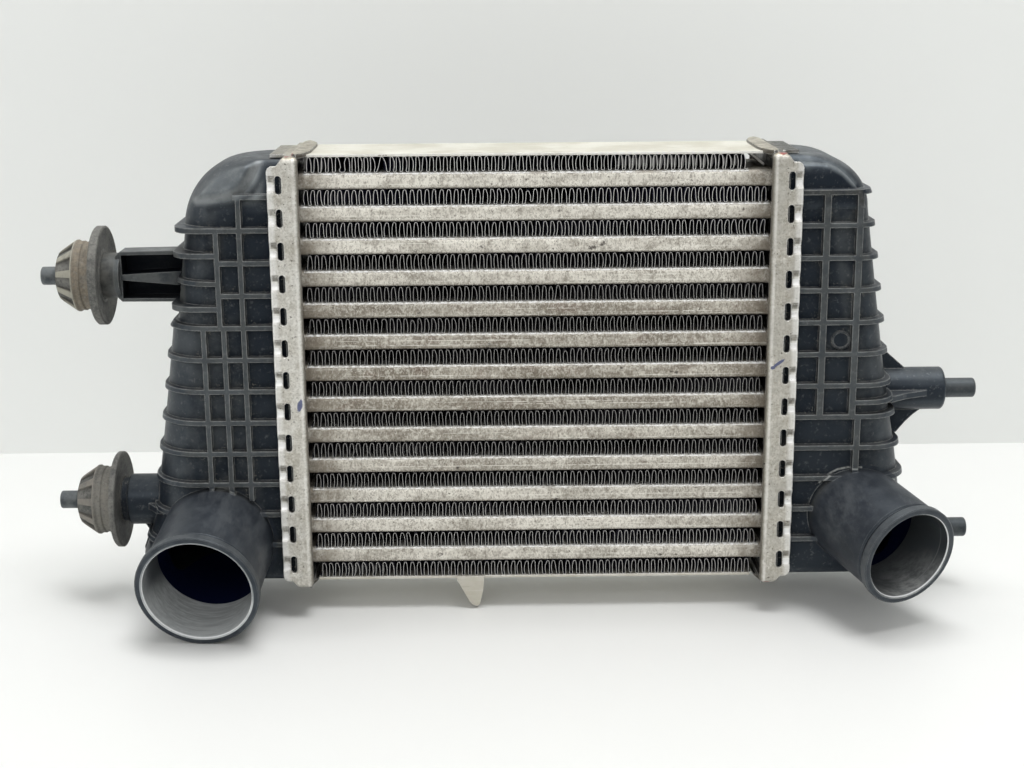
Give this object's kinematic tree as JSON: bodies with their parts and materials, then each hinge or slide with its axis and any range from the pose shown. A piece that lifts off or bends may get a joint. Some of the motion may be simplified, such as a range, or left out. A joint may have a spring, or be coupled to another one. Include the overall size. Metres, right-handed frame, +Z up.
{
  "type": "intercooler",
  "caption": "Car intercooler: brazed aluminium tube-and-fin core, crimped header plates and ribbed black plastic end tanks with hose ports, locating pins and rubber bushes.",
  "frame": {"origin": "middle of the bounding box in plan, at its bottom: the lowest point of the left hose port's bead, which the cooler stands on", "axes": "+X to the right along the charge tubes, +Y from the port side through the core's depth to the back, +Z up across the stack of tubes"},
  "size_m": [0.4618, 0.1152, 0.2286],
  "materials": {
    "tank_plastic": "moulded glass-filled black plastic, satin, with grey worn rib edges and pale dust",
    "header_aluminium": "pressed aluminium, dull, with worn bright edges and dirt in the slots",
    "side_plate_aluminium": "flat aluminium plate, dull and slightly dusty",
    "tube_aluminium": "brazed aluminium, stained beige by road dirt",
    "fin_aluminium": "thin corrugated aluminium with dusty crests",
    "turbulator_aluminium": "clean brazed aluminium strip",
    "gasket_rubber": "black rubber",
    "mount_rubber": "aged grey-black rubber with beige dirt"
  },
  "bodies": {
    "root": {"left_tank": "tank_plastic", "right_tank": "tank_plastic", "left_header_plate": "header_aluminium", "right_header_plate": "header_aluminium", "left_tank_gasket": "gasket_rubber", "right_tank_gasket": "gasket_rubber", "top_side_plate": "side_plate_aluminium", "bottom_side_plate": "side_plate_aluminium", "charge_tube_01": "tube_aluminium", "charge_tube_02": "tube_aluminium", "charge_tube_03": "tube_aluminium", "charge_tube_04": "tube_aluminium", "charge_tube_05": "tube_aluminium", "charge_tube_06": "tube_aluminium", "charge_tube_07": "tube_aluminium", "charge_tube_08": "tube_aluminium", "charge_tube_09": "tube_aluminium", "charge_tube_10": "tube_aluminium", "charge_tube_11": "tube_aluminium", "charge_tube_12": "tube_aluminium", "charge_tube_13": "tube_aluminium", "tube_turbulator_01": "turbulator_aluminium", "tube_turbulator_02": "turbulator_aluminium", "tube_turbulator_03": "turbulator_aluminium", "tube_turbulator_04": "turbulator_aluminium", "tube_turbulator_05": "turbulator_aluminium", "tube_turbulator_06": "turbulator_aluminium", "tube_turbulator_07": "turbulator_aluminium", "tube_turbulator_08": "turbulator_aluminium", "tube_turbulator_09": "turbulator_aluminium", "tube_turbulator_10": "turbulator_aluminium", "tube_turbulator_11": "turbulator_aluminium", "tube_turbulator_12": "turbulator_aluminium", "tube_turbulator_13": "turbulator_aluminium", "cooling_fin_01": "fin_aluminium", "cooling_fin_02": "fin_aluminium", "cooling_fin_03": "fin_aluminium", "cooling_fin_04": "fin_aluminium", "cooling_fin_05": "fin_aluminium", "cooling_fin_06": "fin_aluminium", "cooling_fin_07": "fin_aluminium", "cooling_fin_08": "fin_aluminium", "cooling_fin_09": "fin_aluminium", "cooling_fin_10": "fin_aluminium", "cooling_fin_11": "fin_aluminium", "cooling_fin_12": "fin_aluminium", "cooling_fin_13": "fin_aluminium", "cooling_fin_14": "fin_aluminium", "upper_rubber_mount": "mount_rubber", "lower_rubber_mount": "mount_rubber"}
  },
  "joints": []
}
